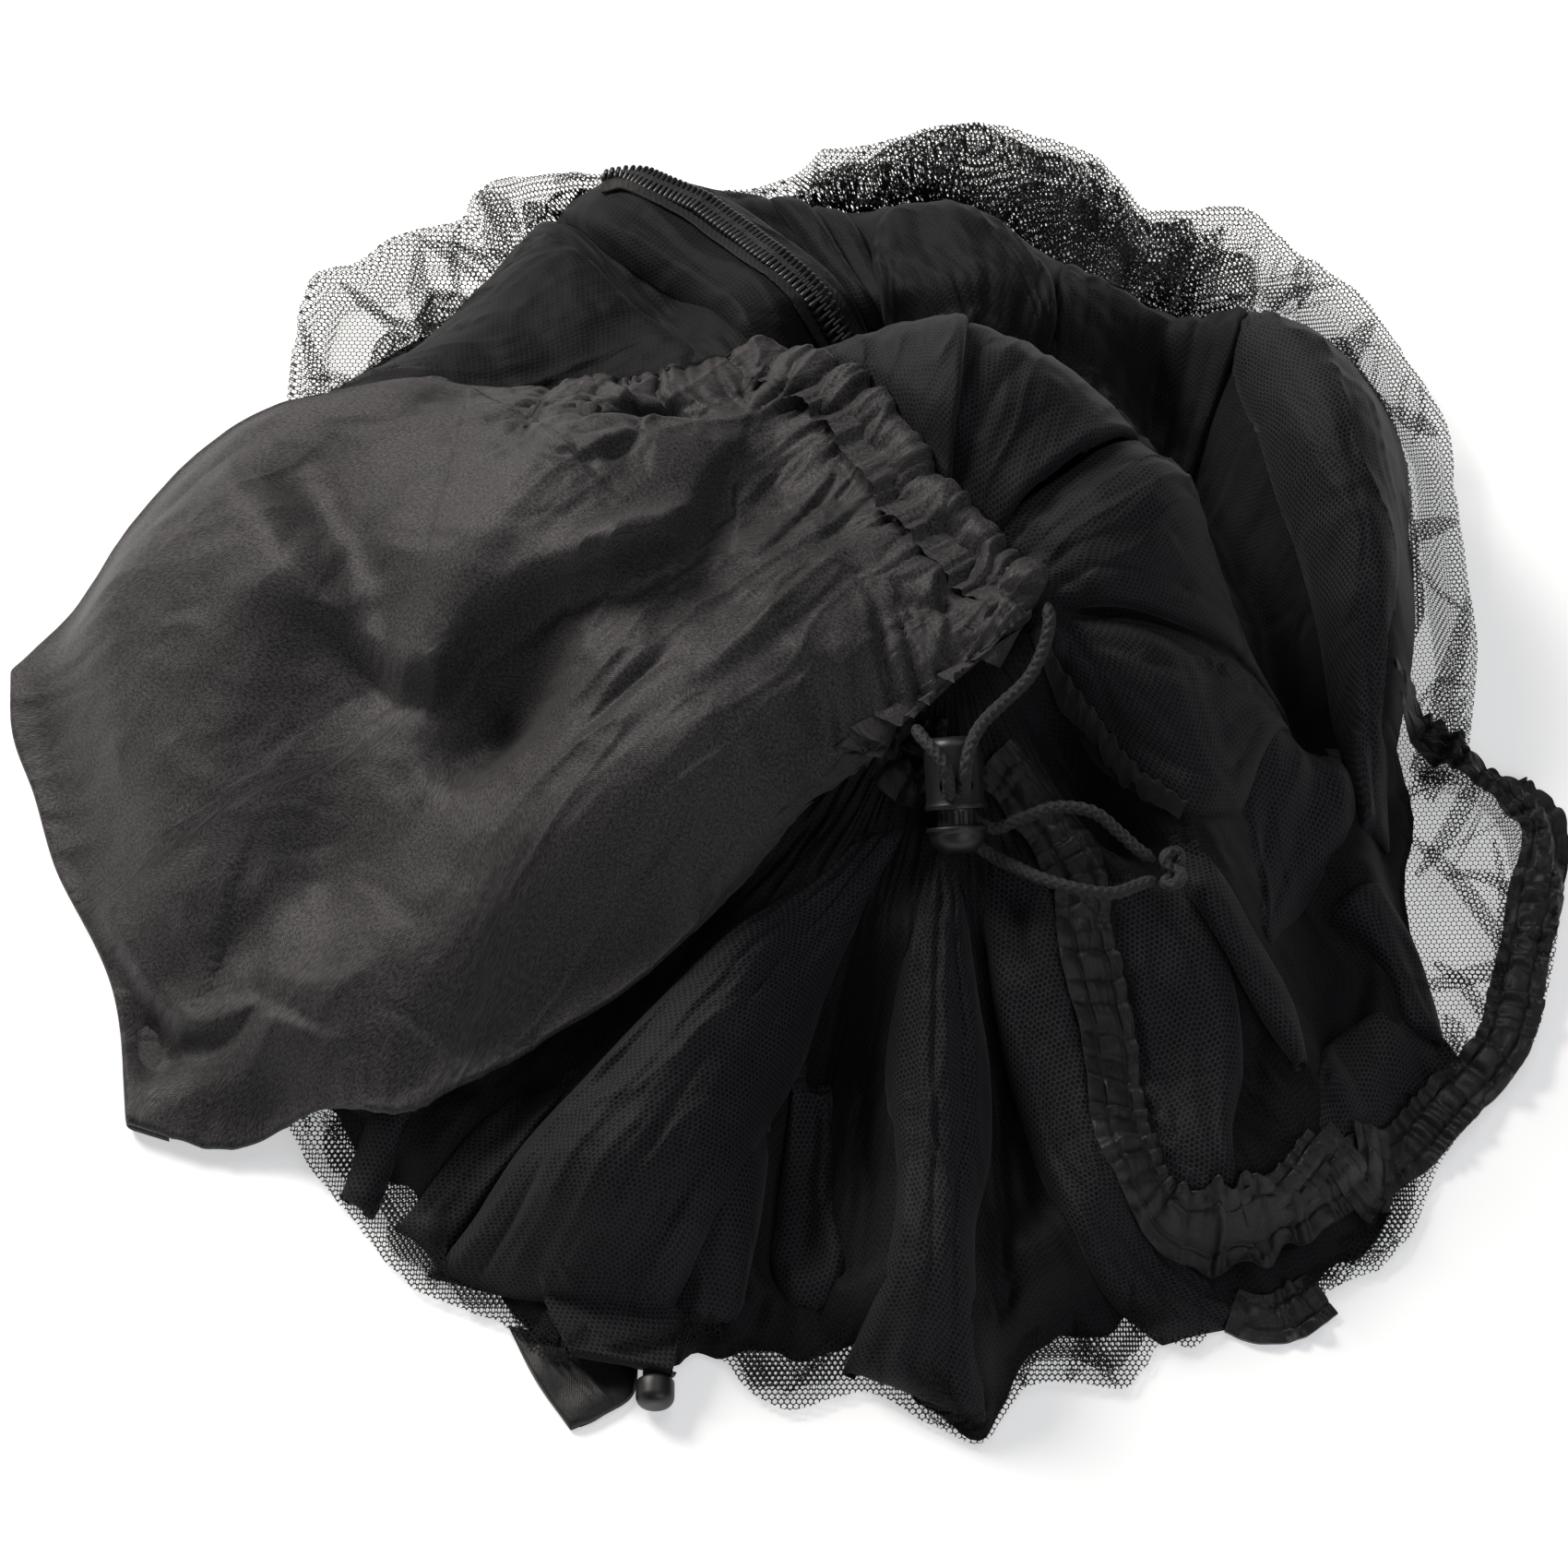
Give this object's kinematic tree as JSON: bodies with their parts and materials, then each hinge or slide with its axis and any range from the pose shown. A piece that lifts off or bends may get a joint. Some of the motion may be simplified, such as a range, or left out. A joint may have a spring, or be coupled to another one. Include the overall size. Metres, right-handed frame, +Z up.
{
  "type": "hammock mosquito net",
  "caption": "Hammock mosquito net of fine black tulle with a zip and a cord casing, pulled half out of its grey drawstring stuff sack and lying in a loose heap.",
  "frame": {"origin": "middle of the heap's bounding box, on the surface that it lies on", "axes": "+Z up from the surface; +Y away from the viewer; +X to the right. The stuff sack's closed end points to -X and its mouth to +X. The long side of the heap runs along X."},
  "size_m": [0.3796, 0.36, 0.0971],
  "materials": {
    "net_tulle": "black hexagonal tulle, many loose layers, sheer at the rim",
    "sack_cloth": "charcoal fine-woven microfibre with a soft sheen",
    "casing_taffeta": "black taffeta strip with two rows of stitching",
    "zip_tape": "black twill tape",
    "zip_coil": "black nylon coil",
    "lock_plastic": "moulded black plastic, slightly worn",
    "cord_braid": "black braided accessory cord"
  },
  "bodies": {
    "heap": {"net": "net_tulle", "stuff_sack": "sack_cloth", "hem_casing": "casing_taffeta", "hem_casing_corner": "casing_taffeta", "hem_casing_tail": "casing_taffeta", "zip_tape_left": "zip_tape", "zip_tape_right": "zip_tape", "zip_chain": "zip_coil", "lock_barrel": "lock_plastic", "drawcord_right": "cord_braid", "drawcord_left": "cord_braid", "loop_upper": "cord_braid", "loop_lower": "cord_braid", "cord_knot": "cord_braid", "casing_toggle": "lock_plastic"},
    "button": {"lock_button": "lock_plastic"}
  },
  "joints": [
    {"name": "lock_button_press", "type": "slide", "parent": "heap", "child": "button", "axis": [-0.0616, 0.8808, 0.4695], "range_m": [0, 0.0034], "stiffness_N_per_m": 100, "springref_m": -0.002}
  ]
}
